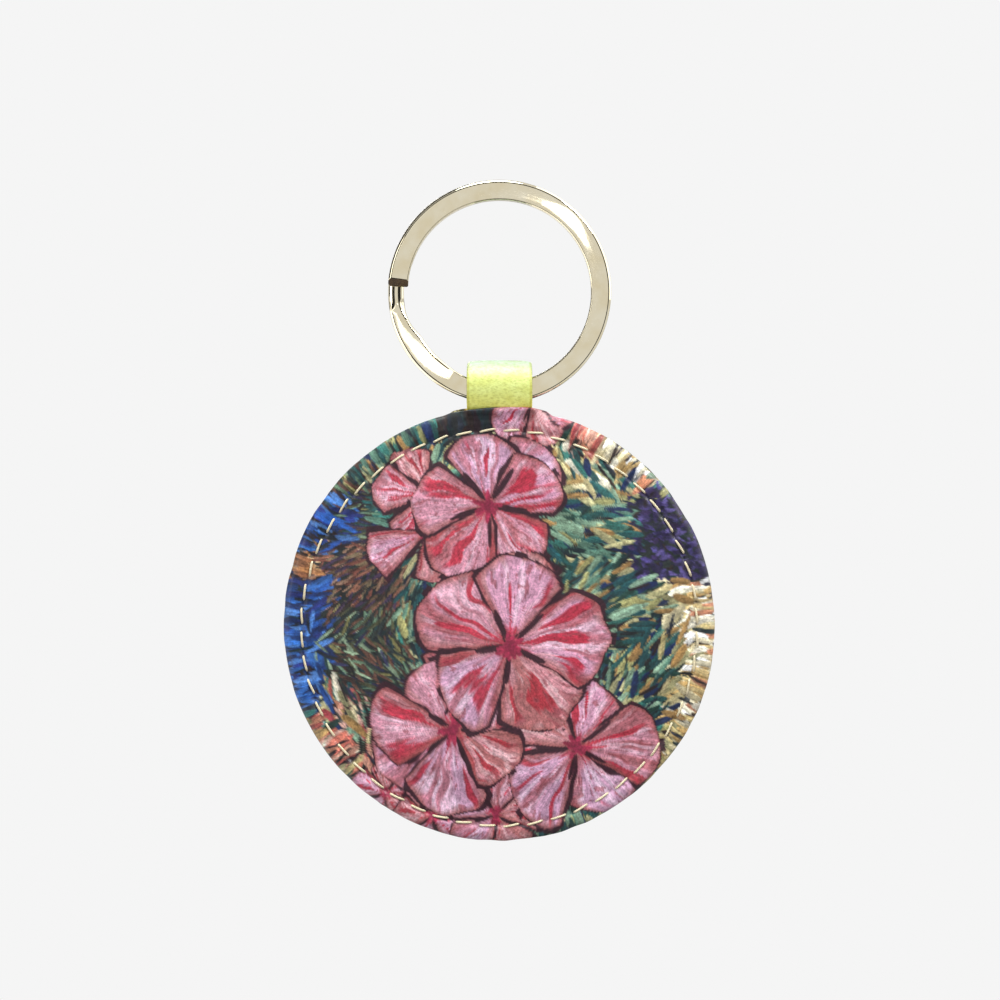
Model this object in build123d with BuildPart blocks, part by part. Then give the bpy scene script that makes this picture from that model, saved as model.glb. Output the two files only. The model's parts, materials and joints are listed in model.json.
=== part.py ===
"""Round leather key fob hanging on a flat-wire split ring, in millimetres.

The origin is the inner top of the ring, where a hook or a key bears on it. +Z is up, the
printed front of the fob faces -Y, and the fob hangs straight below the ring.
"""

import os
from math import asin, cos, hypot, pi, radians, sin, sqrt, tan

from build123d import *

# Split ring: one flat wire wound twice round, the front turn nearer -Y.
ring_diameter = 30.0
wire_width = 2.7
wire_thickness = 1.0
wire_edge_radius = 0.3
turn_gap = 0.05
front_end_angle = 175.0
turn_arc = 290.0
crossover_arc = 60.0
crossover_twist = 25.0
crossover_steps = 8

# Tab: a leather strap folded over the wire, with a thin lining ply next to the wire.
tab_width = 8.75
strap_thickness = 1.2
lining_thickness = 0.2
wire_clearance = 0.07
lining_clearance = 0.05
loop_rise = 0.5
crotch_drop = 3.3
tail_length = 9.0
tail_side_clearance = 0.1

# Fob: two printed leather covers with turned edges, sewn round a padded board.
fob_diameter = 58.0
fob_gap = 0.15
skin_thickness = 0.9
hem_thickness = 0.8
hem_width = 4.5
swell_width = 4.0
foam_thickness = 0.9
board_thickness = 1.2
board_clearance = 0.3
lip_length = 0.4
lip_flare = 1.2

# Stitch row: awl slits on a circle, with a rod of thread for each visible stitch.
stitch_count = 52
stitch_inset = 2.5
stitch_drop = 0.4
thread_diameter = 0.3
thread_bend_radius = 0.25
thread_seat = 0.01
slit_length = 1.5
slit_width = 0.5
leg_offset = 0.5

# Sizes that follow from the ones above.
ring_radius = ring_diameter / 2
eye_radius = ring_radius - wire_width
wire_radius = (ring_radius + eye_radius) / 2
ring_z = -eye_radius
layer_offset = (wire_thickness + turn_gap) / 2
ring_half_thickness = wire_thickness + turn_gap / 2
wire_top = ring_z - sqrt(eye_radius**2 - (tab_width / 2) ** 2)
wire_bottom = ring_z - ring_radius
pivot_z = (wire_top + wire_bottom) / 2
wire_reach = hypot((wire_top - wire_bottom) / 2, ring_half_thickness)
lining_inner_radius = wire_reach + wire_clearance
lining_outer_radius = lining_inner_radius + lining_thickness
loop_radius = lining_outer_radius + lining_clearance
strap_radius = loop_radius + strap_thickness
crotch_angle = asin(loop_radius / crotch_drop)
fob_radius = fob_diameter / 2
fob_top = pivot_z - lining_outer_radius - fob_gap
fob_z = fob_top - fob_radius
tail_bottom = fob_top - tail_length
rim_half_thickness = skin_thickness + hem_thickness
core_half_thickness = board_thickness / 2 + foam_thickness
centre_half_thickness = core_half_thickness + skin_thickness
hem_radius = fob_radius - hem_width
swell_inner_radius = hem_radius - swell_width
board_radius = hem_radius - board_clearance
lifted_half_thickness = strap_thickness + skin_thickness
stitch_circle_radius = fob_radius - stitch_inset
stitch_z = fob_z - stitch_drop
stitch_step = 360.0 / stitch_count
lift_half_width = stitch_circle_radius * sin(radians(2 * stitch_step))

ring_axis = Axis((0, 0, ring_z), (0, 1, 0))
fob_axis = Axis((0, 0, fob_z), (0, 1, 0))
stitch_axis = Axis((0, 0, stitch_z), (0, 1, 0))
fob_profile_plane = Plane(origin=(0, 0, fob_z), x_dir=(1, 0, 0), z_dir=(0, 0, 1))
fob_face_plane = Plane(origin=(0, 0, fob_z), x_dir=(1, 0, 0), z_dir=(0, -1, 0))


def wire_plane(angle):
    """The radial plane at an angle seen from the front: local x outward, local y along +Y."""
    turn = radians(angle)
    return Plane(
        origin=(0, 0, ring_z),
        x_dir=(cos(turn), 0, sin(turn)),
        z_dir=(-sin(turn), 0, cos(turn)),
    )


def swell(rim_y, centre_y):
    """The soft step between the padded middle and the flat rim, as an S-shaped curve."""
    middle = (swell_inner_radius + hem_radius) / 2
    return Bezier(
        (hem_radius, rim_y),
        (middle, rim_y),
        (middle, centre_y),
        (swell_inner_radius, centre_y),
    )


def pocket_outline():
    """Half the section of the space inside the front cover, from the mid-plane to its skin."""
    with BuildSketch(fob_profile_plane) as pocket:
        with BuildLine():
            Polyline((0, -core_half_thickness), (0, 0), (hem_radius, 0), (hem_radius, -hem_thickness))
            swell(-hem_thickness, -core_half_thickness)
            Line((swell_inner_radius, -core_half_thickness), (0, -core_half_thickness))
        make_face()
    return pocket.sketch


def tail_notch():
    """The notch that lets the tails reach past the edge of the board and the foam."""
    with BuildSketch(fob_face_plane) as notch:
        with Locations((0, tail_bottom - board_clearance - fob_z + fob_radius / 2)):
            Rectangle(tab_width + 2 * board_clearance, fob_radius)
    return notch.sketch


def strap_outline():
    """The strap's side profile without its eye: round over the wire, pinched, then flat tails."""
    side = Vector(strap_radius * cos(crotch_angle), pivot_z - strap_radius * sin(crotch_angle))
    waist_drop = (side.X - strap_thickness) / tan(crotch_angle)
    with BuildSketch(Plane.YZ) as outline:
        with BuildLine():
            for hand in (-1, 1):
                ThreePointArc(
                    (0, pivot_z + loop_rise + strap_radius),
                    (
                        hand * strap_radius * sin(pi / 4),
                        pivot_z + loop_rise + strap_radius * cos(pi / 4),
                    ),
                    (hand * strap_radius, pivot_z + loop_rise),
                )
                Line((hand * strap_radius, pivot_z + loop_rise), (hand * strap_radius, pivot_z))
                ThreePointArc(
                    (hand * strap_radius, pivot_z),
                    (
                        hand * strap_radius * cos(crotch_angle / 2),
                        pivot_z - strap_radius * sin(crotch_angle / 2),
                    ),
                    (hand * side.X, side.Y),
                )
                Polyline(
                    (hand * side.X, side.Y),
                    (hand * strap_thickness, side.Y - waist_drop),
                    (hand * strap_thickness, tail_bottom),
                    (0, tail_bottom),
                )
        make_face()
    return outline.sketch


def strap_eye():
    """The teardrop eye inside the strap, round where the lining turns in it."""
    with BuildSketch(Plane.YZ) as eye:
        with Locations((0, pivot_z), (0, pivot_z + loop_rise)):
            Circle(loop_radius)
        with Locations((0, pivot_z + loop_rise / 2)):
            Rectangle(2 * loop_radius, loop_rise)
        with BuildLine():
            Polyline(
                (-loop_radius * cos(crotch_angle), pivot_z - loop_radius * sin(crotch_angle)),
                (0, pivot_z - crotch_drop),
                (loop_radius * cos(crotch_angle), pivot_z - loop_radius * sin(crotch_angle)),
                close=True,
            )
        make_face()
    return eye.sketch


def stitch_slits():
    """Awl slits along the stitch circle, their long way round the circle."""
    with BuildSketch(Plane(origin=(0, 0, stitch_z), x_dir=(0, 0, 1), z_dir=(0, -1, 0))) as slits:
        with PolarLocations(stitch_circle_radius, stitch_count):
            SlotOverall(slit_length, slit_width, rotation=90)
    return slits.sketch


def stitch_rod(surface_y, middle_y):
    """One stitch over a surface: a rod that bends down into the slit at each of its ends."""
    half_angle = radians(stitch_step / 2) - leg_offset / stitch_circle_radius
    reach = stitch_circle_radius * sin(half_angle)
    height = stitch_z + stitch_circle_radius * cos(half_angle)
    outward = -1 if surface_y < 0 else 1
    top_y = surface_y + outward * (thread_diameter / 2 + thread_seat)
    with BuildPart() as rod:
        with BuildLine() as path:
            FilletPolyline(
                (-reach, middle_y, height),
                (-reach, top_y, height),
                (reach, top_y, height),
                (reach, middle_y, height),
                radius=thread_bend_radius,
            )
        with BuildSketch(Plane(origin=path.line @ 0, z_dir=path.line % 0)):
            Circle(thread_diameter / 2)
        sweep()
    return rod.part


def stitch_row(side):
    """All the stitches on one face, raised where the covers are lifted over the tab."""
    middle_y = side * thread_seat
    flat = stitch_rod(side * rim_half_thickness, middle_y)
    lifted = stitch_rod(side * lifted_half_thickness, middle_y)
    rods = []
    for number in range(stitch_count):
        turn = (number + 0.5) * stitch_step
        over_tab = min(turn, 360 - turn) < 2 * stitch_step
        rods.append((lifted if over_tab else flat).rotate(stitch_axis, turn))
    return rods


with BuildPart() as split_ring:
    back_start_angle = front_end_angle - turn_arc - crossover_arc
    for start, layer in ((front_end_angle, -layer_offset), (back_start_angle, layer_offset)):
        with BuildSketch(wire_plane(start)):
            with Locations((wire_radius, layer)):
                RectangleRounded(wire_width, wire_thickness, wire_edge_radius)
        revolve(axis=ring_axis, revolution_arc=turn_arc)
    for step in range(crossover_steps + 1):
        share = step / crossover_steps
        eased = share * share * (3 - 2 * share)
        with BuildSketch(wire_plane(front_end_angle - turn_arc - crossover_arc * share)):
            with Locations((wire_radius, layer_offset * (2 * eased - 1))):
                RectangleRounded(
                    wire_width,
                    wire_thickness,
                    wire_edge_radius,
                    rotation=crossover_twist * sin(pi * share) ** 2,
                )
    loft()
split_ring.part.label = "split_ring"

with BuildPart() as tab_lining:
    with BuildSketch(Plane.YZ):
        with Locations((0, pivot_z)):
            Circle(lining_outer_radius)
            Circle(lining_inner_radius, mode=Mode.SUBTRACT)
    extrude(amount=tab_width / 2, both=True)
tab_lining.part.label = "tab_lining"

with BuildPart() as tab_strap:
    extrude(strap_outline(), amount=tab_width / 2, both=True)
    extrude(strap_eye(), amount=tab_width, both=True, mode=Mode.SUBTRACT)
    extrude(stitch_slits(), amount=strap_thickness * 2, both=True, mode=Mode.SUBTRACT)
tab_strap.part.label = "tab_strap"

# Where the tab's tails go in, the cover's skin is lifted and its edge opens into a lip.
with BuildPart() as front_lift:
    lip_y = lifted_half_thickness + lip_flare
    with BuildSketch(Plane.YZ):
        with BuildLine():
            Polyline(
                (0, fob_top),
                (-lip_y, fob_top),
                (-lip_y, fob_top - lip_length),
                (-lifted_half_thickness, fob_top - lip_length - lip_flare),
                (-lifted_half_thickness, fob_top - hem_width - swell_width / 2),
                (0, fob_top - hem_width - swell_width / 2),
                close=True,
            )
        make_face()
    extrude(amount=lift_half_width, both=True)
    with BuildSketch(Plane.XY.offset(fob_top)):
        with BuildLine():
            rim_step = lifted_half_thickness - rim_half_thickness
            Polyline(
                (-lift_half_width - rim_step / 2, 0),
                (-lift_half_width - rim_step / 2, -rim_half_thickness),
                (-lift_half_width + rim_step / 2, -lifted_half_thickness),
                (-tab_width / 2 - skin_thickness, -lip_y),
                (tab_width / 2 + skin_thickness, -lip_y),
                (lift_half_width - rim_step / 2, -lifted_half_thickness),
                (lift_half_width + rim_step / 2, -rim_half_thickness),
                (lift_half_width + rim_step / 2, 0),
                close=True,
            )
        make_face()
    extrude(amount=-fob_radius, mode=Mode.INTERSECT)
    with BuildSketch(fob_face_plane):
        Circle(fob_radius - skin_thickness / 2)
    extrude(amount=lip_y, both=True, mode=Mode.INTERSECT)

with BuildPart() as front_cover:
    with BuildSketch(fob_profile_plane):
        with BuildLine():
            fold_radius = rim_half_thickness / 2
            Polyline((0, 0), (0, -centre_half_thickness), (swell_inner_radius, -centre_half_thickness))
            swell(-rim_half_thickness, -centre_half_thickness)
            Line((hem_radius, -rim_half_thickness), (fob_radius - fold_radius, -rim_half_thickness))
            ThreePointArc(
                (fob_radius - fold_radius, -rim_half_thickness),
                (fob_radius, -fold_radius),
                (fob_radius - fold_radius, 0),
            )
            Line((fob_radius - fold_radius, 0), (0, 0))
        make_face()
    revolve(axis=fob_axis)
    add(front_lift.part)
    revolve(pocket_outline(), axis=fob_axis, mode=Mode.SUBTRACT)
    extrude(
        strap_outline(),
        amount=tab_width / 2 + tail_side_clearance,
        both=True,
        mode=Mode.SUBTRACT,
    )
    extrude(stitch_slits(), amount=centre_half_thickness, mode=Mode.SUBTRACT)
front_cover.part.label = "front_cover"

with BuildPart() as stiffener_board:
    with BuildSketch(fob_face_plane):
        Circle(board_radius)
    extrude(amount=board_thickness / 2, both=True)
    extrude(tail_notch(), amount=board_thickness, both=True, mode=Mode.SUBTRACT)
stiffener_board.part.label = "stiffener_board"

with BuildPart() as front_foam:
    with BuildSketch(fob_profile_plane):
        add(pocket_outline())
        with Locations((board_radius / 2, 0)):
            Rectangle(board_radius, 4 * core_half_thickness, mode=Mode.INTERSECT)
            Rectangle(board_radius, board_thickness, mode=Mode.SUBTRACT)
    revolve(axis=fob_axis)
    extrude(tail_notch(), amount=centre_half_thickness, both=True, mode=Mode.SUBTRACT)
front_foam.part.label = "front_foam"

with BuildPart() as needle_thread:
    add(stitch_row(-1))
needle_thread.part.label = "needle_thread"

with BuildPart() as bobbin_thread:
    add(stitch_row(1))
bobbin_thread.part.label = "bobbin_thread"

# The back of the fob is the mirror image of the front.
with BuildPart() as back_cover:
    add(mirror(front_cover.part, about=Plane.XZ, mode=Mode.PRIVATE))
back_cover.part.label = "back_cover"

with BuildPart() as back_foam:
    add(mirror(front_foam.part, about=Plane.XZ, mode=Mode.PRIVATE))
back_foam.part.label = "back_foam"

pieces = (
    split_ring,
    tab_lining,
    tab_strap,
    front_cover,
    back_cover,
    front_foam,
    back_foam,
    stiffener_board,
    needle_thread,
    bobbin_thread,
)
os.makedirs("parts", exist_ok=True)
for piece in pieces:
    export_step(piece.part, f"parts/{piece.part.label}.step")
print(f"pivot z {pivot_z:.3f}, wire reach {wire_reach:.3f}, fob centre z {fob_z:.3f}")
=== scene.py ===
"""Round leather key fob on a flat-wire split ring: the looks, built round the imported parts."""

import json

import bpy
import numpy as np
from bpy.props import FloatProperty, FloatVectorProperty, IntProperty, PointerProperty
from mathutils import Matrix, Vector


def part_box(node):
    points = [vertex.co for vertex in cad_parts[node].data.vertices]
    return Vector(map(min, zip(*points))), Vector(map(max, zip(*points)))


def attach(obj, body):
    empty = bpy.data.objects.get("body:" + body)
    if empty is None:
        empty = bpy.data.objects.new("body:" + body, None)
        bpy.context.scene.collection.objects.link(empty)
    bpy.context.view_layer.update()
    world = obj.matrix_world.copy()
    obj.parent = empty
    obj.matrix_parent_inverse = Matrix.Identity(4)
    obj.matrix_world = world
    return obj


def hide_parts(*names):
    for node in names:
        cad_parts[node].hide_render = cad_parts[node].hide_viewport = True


bl_info = {
    "name": "Leather Key Fob",
    "version": (1, 0, 0),
    "blender": (4, 5, 0),
    "location": "View3D > Sidebar > Key Fob",
    "description": "Builds a stitched, printed leather key fob on a split ring",
    "category": "Add Mesh",
}

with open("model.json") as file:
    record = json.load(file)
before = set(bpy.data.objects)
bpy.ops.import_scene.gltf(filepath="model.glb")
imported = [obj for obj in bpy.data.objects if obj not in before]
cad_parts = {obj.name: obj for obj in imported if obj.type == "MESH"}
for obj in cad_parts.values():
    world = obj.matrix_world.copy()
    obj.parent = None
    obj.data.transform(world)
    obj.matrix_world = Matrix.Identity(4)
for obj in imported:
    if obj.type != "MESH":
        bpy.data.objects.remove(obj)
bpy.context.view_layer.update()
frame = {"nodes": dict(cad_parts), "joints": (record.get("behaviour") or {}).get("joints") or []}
MM = 0.001

# Places and sizes read from the frame, in millimetres.
RING_LOW, RING_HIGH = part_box("split_ring")
RING_RADIUS = (RING_HIGH.z - RING_LOW.z) / 2 / MM
RING_Z = (RING_HIGH.z + RING_LOW.z) / 2 / MM
COVER_LOW, COVER_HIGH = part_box("front_cover")
FOB_RADIUS = (COVER_HIGH.x - COVER_LOW.x) / 2 / MM
FOB_Z = COVER_LOW.z / MM + FOB_RADIUS
STRAP_LOW, STRAP_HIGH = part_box("tab_strap")
TAB_WIDTH = (STRAP_HIGH.x - STRAP_LOW.x) / MM
TAB_TOP = STRAP_HIGH.z / MM
TAIL_BOTTOM = STRAP_LOW.z / MM
PIVOT_Z = next(j["pos_m"][2] for j in frame["joints"] if j["name"] == "fob_swing") / MM
LINING_LOW, LINING_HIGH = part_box("tab_lining")
LINING_RADIUS = (LINING_HIGH.z - LINING_LOW.z) / 2 / MM


def hex_share(code):
    """The red, green and blue of an sRGB hex code such as #C0304A, each from 0 to 1."""
    return np.array([int(code[i : i + 2], 16) for i in (1, 3, 5)]) / 255


def linear(share):
    """Colours in linear light, from sRGB shares from 0 to 1 or from one hex code."""
    share = hex_share(share) if isinstance(share, str) else share
    return np.where(share <= 0.04045, share / 12.92, ((share + 0.055) / 1.055) ** 2.4)


def colour_property(name, description, code):
    """A colour that a user can change, with its default given as a hex code."""
    limits = {"default": tuple(linear(code)), "min": 0.0, "max": 1.0, "size": 3, "subtype": "COLOR"}
    return FloatVectorProperty(name=name, description=description, **limits)


def length_property(name, description, millimetres):
    """A length that a user can change, with its default given in millimetres."""
    limits = {"default": millimetres * MM, "min": 0.0, "unit": "LENGTH", "precision": 5}
    return FloatProperty(name=name, description=description, **limits)


class FobRingSettings(bpy.types.PropertyGroup):
    """Sizes and plating of the split ring."""

    wire_width: length_property("Wire width", "Radial width of the flat wire", 2.7)
    wire_thickness: length_property("Wire thickness", "Thickness of one turn of the wire", 1.0)
    turn_gap: length_property("Turn gap", "Gap between the two turns", 0.05)
    plating: colour_property("Plating", "Colour of the pale gold plating", "#E6DEC6")


class FobTabSettings(bpy.types.PropertyGroup):
    """Sizes and colour of the folded tab."""

    strap_thickness: length_property("Strap thickness", "Thickness of the tab's leather", 1.2)
    leather: colour_property("Tab leather", "Colour of the lime leather", "#CBD585")


class FobCoverSettings(bpy.types.PropertyGroup):
    """Sizes and print of the covers."""

    rim_half: length_property("Rim half thickness", "One cover's thickness at the rim, skin and hem", 1.7)
    centre_half: length_property("Middle half thickness", "One cover's height over the padding", 2.4)
    skin: length_property("Skin thickness", "Thickness of the cover's leather", 0.9)
    print_seed: IntProperty(name="Print seed", description="Changes the print's brushwork", default=7, min=0)


class FobStitchSettings(bpy.types.PropertyGroup):
    """Sizes and colour of the stitch row."""

    count: IntProperty(name="Stitches", description="Stitches round the fob", default=52, min=3)
    inset: length_property("Inset", "Distance of the row from the edge", 2.5)
    drop: length_property("Drop", "How far the row's centre lies below the fob's", 0.4)
    diameter: length_property("Thread diameter", "Thickness of the thread", 0.3)
    thread: colour_property("Thread", "Colour of the cream thread", "#F6E9C6")


class FobStageSettings(bpy.types.PropertyGroup):
    """Backdrop and light."""

    backdrop: colour_property("Backdrop", "Colour of the pale floor and backdrop", "#F5F5F5")
    light: FloatProperty(name="Light", description="Strength of the soft lights", default=1.0, min=0.0)


SETTINGS = {
    "fob_ring": FobRingSettings,
    "fob_tab": FobTabSettings,
    "fob_cover": FobCoverSettings,
    "fob_stitch": FobStitchSettings,
    "fob_stage": FobStageSettings,
}


def eased(share):
    """A share from 0 to 1 that starts and stops gently."""
    share = np.clip(share, 0, 1)
    return share * share * (3 - 2 * share)


def mixed(first, second, share):
    """Two colours mixed point by point."""
    return first + (second - first) * np.asarray(share)[..., None]


def bump(value, start, rise, fall, stop):
    """A smooth hump: 0 before start, 1 between rise and fall, 0 after stop."""
    return eased((value - start) / (rise - start)) * eased((stop - value) / (stop - fall))


def ridge(distance, width):
    """A soft ridge, 1 at distance 0: e to the power of minus the square of distance by width."""
    return np.exp(-((distance / width) ** 2))


# How many random heights lie along each side of the noise's lattice before it repeats.
LATTICE = 97


def value_noise(x, y, seed, shift=0):
    """Smooth noise from 0 to 1: random heights on a unit lattice, eased between its corners."""
    heights = np.random.default_rng(seed).random((LATTICE, LATTICE))
    x, y = x + shift, y + shift
    column, row = np.floor(x).astype(int), np.floor(y).astype(int)
    u, v = eased(x - column), eased(y - row)
    right, above = (column + 1) % LATTICE, (row + 1) % LATTICE
    column, row = column % LATTICE, row % LATTICE
    low = heights[column, row] * (1 - u) + heights[right, row] * u
    high = heights[column, above] * (1 - u) + heights[right, above] * u
    return low * (1 - v) + high * v


def grid_faces(rows, columns, closed=False):
    """The four corners of each face of a grid; a closed grid's last column joins its first."""
    row, column = np.meshgrid(np.arange(rows - 1), np.arange(columns - (not closed)), indexing="ij")
    after = (column + 1) % columns
    here, above = row * columns, (row + 1) * columns
    return np.stack([here + column, here + after, above + after, above + column], axis=-1).reshape(-1, 4)


def new_piece(name, points, quads, triangles=None, flip=False, slot=None, body=None, stands_for=()):
    """A mesh object from points in millimetres and its faces, smooth, at the origin, on its body."""
    triangles = np.zeros((0, 3), int) if triangles is None else triangles
    if flip:
        quads, triangles = quads[:, ::-1], triangles[:, ::-1]
    mesh = bpy.data.meshes.new(name)
    mesh.vertices.add(len(points))
    mesh.vertices.foreach_set("co", (points * MM).astype(np.float32).ravel())
    corners = np.concatenate([quads.ravel(), triangles.ravel()])
    mesh.loops.add(len(corners))
    mesh.loops.foreach_set("vertex_index", corners.astype(np.int32))
    mesh.polygons.add(len(quads) + len(triangles))
    starts = np.concatenate([np.arange(len(quads)) * 4, quads.size + np.arange(len(triangles)) * 3])
    mesh.polygons.foreach_set("loop_start", starts.astype(np.int32))
    mesh.update(calc_edges=True)
    mesh.validate()
    mesh.shade_smooth()
    piece = bpy.data.objects.new(name, mesh)
    bpy.context.scene.collection.objects.link(piece)
    if body:
        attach(piece, body)
    if stands_for:
        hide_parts(*stands_for)
    return piece


def swept_piece(name, rings, ends=None, **placing):
    """A closed profile carried along a path, given as its rings of points. Each end is closed by
    a fan of triangles round its middle, or round the end point that is given."""
    steps, count = rings.shape[:2]
    ends = [rings[0].mean(0), rings[-1].mean(0)] if ends is None else ends
    order = np.arange(count)
    after = (order + 1) % count
    last = (steps - 1) * count
    first_cap = np.stack([after, order, np.full(count, steps * count)], -1)
    last_cap = np.stack([order + last, after + last, np.full(count, steps * count + 1)], -1)
    points = np.concatenate([rings.reshape(-1, 3), ends])
    quads = grid_faces(steps, count, closed=True)
    return new_piece(name, points, quads, np.concatenate([first_cap, last_cap]), **placing)


def store_colours(piece, name, colours):
    """Keeps one linear colour for each point of a piece, for its material to read."""
    values = np.ones((len(colours), 4), np.float32)
    values[:, :3] = colours
    piece.data.attributes.new(name, "FLOAT_COLOR", "POINT").data.foreach_set("color", values.ravel())


def store_flat(piece, name, places):
    """Keeps a two- or three-part place for each point, for patterns that follow the surface."""
    values = np.zeros((len(places), 3), np.float32)
    values[:, : places.shape[1]] = places
    piece.data.attributes.new(name, "FLOAT_VECTOR", "POINT").data.foreach_set("vector", values.ravel())


def dress(piece, material):
    """Gives a piece its one material."""
    piece.data.materials.clear()
    piece.data.materials.append(material)


def node(tree, kind, output, inputs=(), stops=(), **settings):
    """Adds a shader node with its settings and links and returns the output that is named. Inputs
    are values, or the outputs that feed them; stops are a colour ramp's places and colours."""
    made = tree.nodes.new("ShaderNode" + kind)
    for key, value in settings.items():
        setattr(made, key, value)
    for key, value in dict(inputs).items():
        if isinstance(value, bpy.types.NodeSocket):
            tree.links.new(value, made.inputs[key])
        else:
            made.inputs[key].default_value = value
    for _ in stops[2:]:
        made.color_ramp.elements.new(0.5)
    for number, (place, colour) in enumerate(stops):
        made.color_ramp.elements[number].position = place
        made.color_ramp.elements[number].color = rgba(colour)
    return made.outputs[output] if output else None


def new_material(name):
    """An empty node material, and its tree."""
    material = bpy.data.materials.new(name)
    material.use_nodes = True
    material.node_tree.nodes.clear()
    return material, material.node_tree


def rgba(colour):
    """A colour with full opacity."""
    return (*tuple(colour)[:3], 1.0)


def grey(level):
    """A neutral colour."""
    return (level, level, level)


def per_mm(size):
    """The scale that gives a pattern features of a size in millimetres."""
    return 1.0 / (size * MM)


def plated_steel():
    """Steel wire, drawn flat, wound, barrel-polished and plated pale gold: mirror-bright with the
    faint lengthwise drag lines and tiny dents that barrel polishing leaves."""
    material, tree = new_material("plated_steel_barrel_polished")
    place = node(tree, "Attribute", "Vector", attribute_name="wire_place")
    drag = node(tree, "Mapping", "Vector", {"Vector": place, "Scale": (0.25, 9.0, 1.0)})
    lines = node(tree, "TexNoise", "Fac", {"Vector": drag, "Scale": 1.0, "Detail": 3.0})
    where = node(tree, "TexCoord", "Object")
    dents = node(tree, "TexNoise", "Fac", {"Vector": where, "Scale": per_mm(2.2), "Detail": 2.0})
    relief = node(tree, "Bump", "Normal", {"Height": lines, "Strength": 0.02, "Distance": 0.015 * MM})
    dented = {"Height": dents, "Strength": 0.05, "Distance": 0.04 * MM, "Normal": relief}
    relief = node(tree, "Bump", "Normal", dented)
    dulled = {"Value": lines, "From Min": 0.3, "From Max": 0.7, "To Min": 0.02, "To Max": 0.05}
    rough = node(tree, "MapRange", "Result", dulled)
    tone = bpy.context.scene.fob_ring.plating
    worn = [0.93 * tone[0], 0.89 * tone[1], 0.80 * tone[2]]
    shade = node(tree, "ValToRGB", "Color", {"Fac": dents}, ((0.3, worn), (0.7, tone)))
    metal = {"Base Color": shade, "Metallic": 1.0, "Roughness": rough, "Normal": relief}
    shader = node(tree, "BsdfPrincipled", "BSDF", metal)
    node(tree, "OutputMaterial", None, {"Surface": shader})
    return material


# The settings of a Mix node that multiplies one colour by another.
MULTIPLY = {"data_type": "RGBA", "blend_type": "MULTIPLY"}


def grain_height(tree, where, cell, share=0.5):
    """Leather grain: rounded cells about a size in millimetres across, with finer creases."""
    rounded = {"Vector": where, "Scale": per_mm(cell), "Smoothness": 0.7}
    cells = node(tree, "TexVoronoi", "Distance", rounded, feature="SMOOTH_F1")
    finer = {"Vector": where, "Scale": per_mm(cell / 2), "Detail": 4.0, "Roughness": 0.6}
    creases = node(tree, "TexNoise", "Fac", finer)
    return node(tree, "Mix", "Result", {"Factor": share, "A": cells, "B": creases}, data_type="FLOAT")


def printed_leather():
    """Split leather with a thin printed coat, pressed flat: satin, with a fine pebble grain and
    the print's own fibre-like speckle, a little duller where the grain is open."""
    material, tree = new_material("printed_leather_satin_coat")
    print_colour = node(tree, "Attribute", "Color", attribute_name="print")
    where = node(tree, "TexCoord", "Object")
    brushwork = node(tree, "Attribute", "Vector", attribute_name="brushwork")
    strength = node(tree, "SeparateXYZ", "Z", {"Vector": brushwork})
    flow = node(tree, "Mapping", "Vector", {"Vector": brushwork, "Scale": (0.75, 4.2, 0.0)})
    bristles = {"Vector": flow, "Scale": 1.0, "Detail": 3.0, "Roughness": 0.6}
    bristles = node(tree, "TexNoise", "Fac", bristles)
    stops = ((0.32, grey(0.50)), (0.48, grey(0.98)), (0.70, grey(1.30)))
    streaks = node(tree, "ValToRGB", "Color", {"Fac": bristles}, stops)
    fibres = {"Vector": where, "Scale": per_mm(0.30), "Detail": 4.0, "Roughness": 0.7}
    fibres = node(tree, "TexNoise", "Fac", fibres)
    stops = ((0.34, grey(0.62)), (0.50, grey(0.98)), (0.70, grey(1.28)))
    speckle = node(tree, "ValToRGB", "Color", {"Fac": fibres}, stops)
    shade = node(tree, "Mix", "Result", {"Factor": strength, "A": print_colour, "B": streaks}, **MULTIPLY)
    shade = node(tree, "Mix", "Result", {"Factor": 1.0, "A": shade, "B": speckle}, **MULTIPLY)
    height = grain_height(tree, where, 0.42)
    relief = node(tree, "Bump", "Normal", {"Height": height, "Strength": 0.45, "Distance": 0.05 * MM})
    opened = {"Value": height, "From Min": 0.2, "From Max": 0.8, "To Min": 0.62, "To Max": 0.44}
    rough = node(tree, "MapRange", "Result", opened)
    coated = {"Base Color": shade, "Roughness": rough, "Normal": relief, "IOR": 1.48}
    coated.update({"Specular IOR Level": 0.34, "Coat Weight": 0.16, "Coat Roughness": 0.22})
    shader = node(tree, "BsdfPrincipled", "BSDF", coated)
    node(tree, "OutputMaterial", None, {"Surface": shader})
    return material


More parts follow.
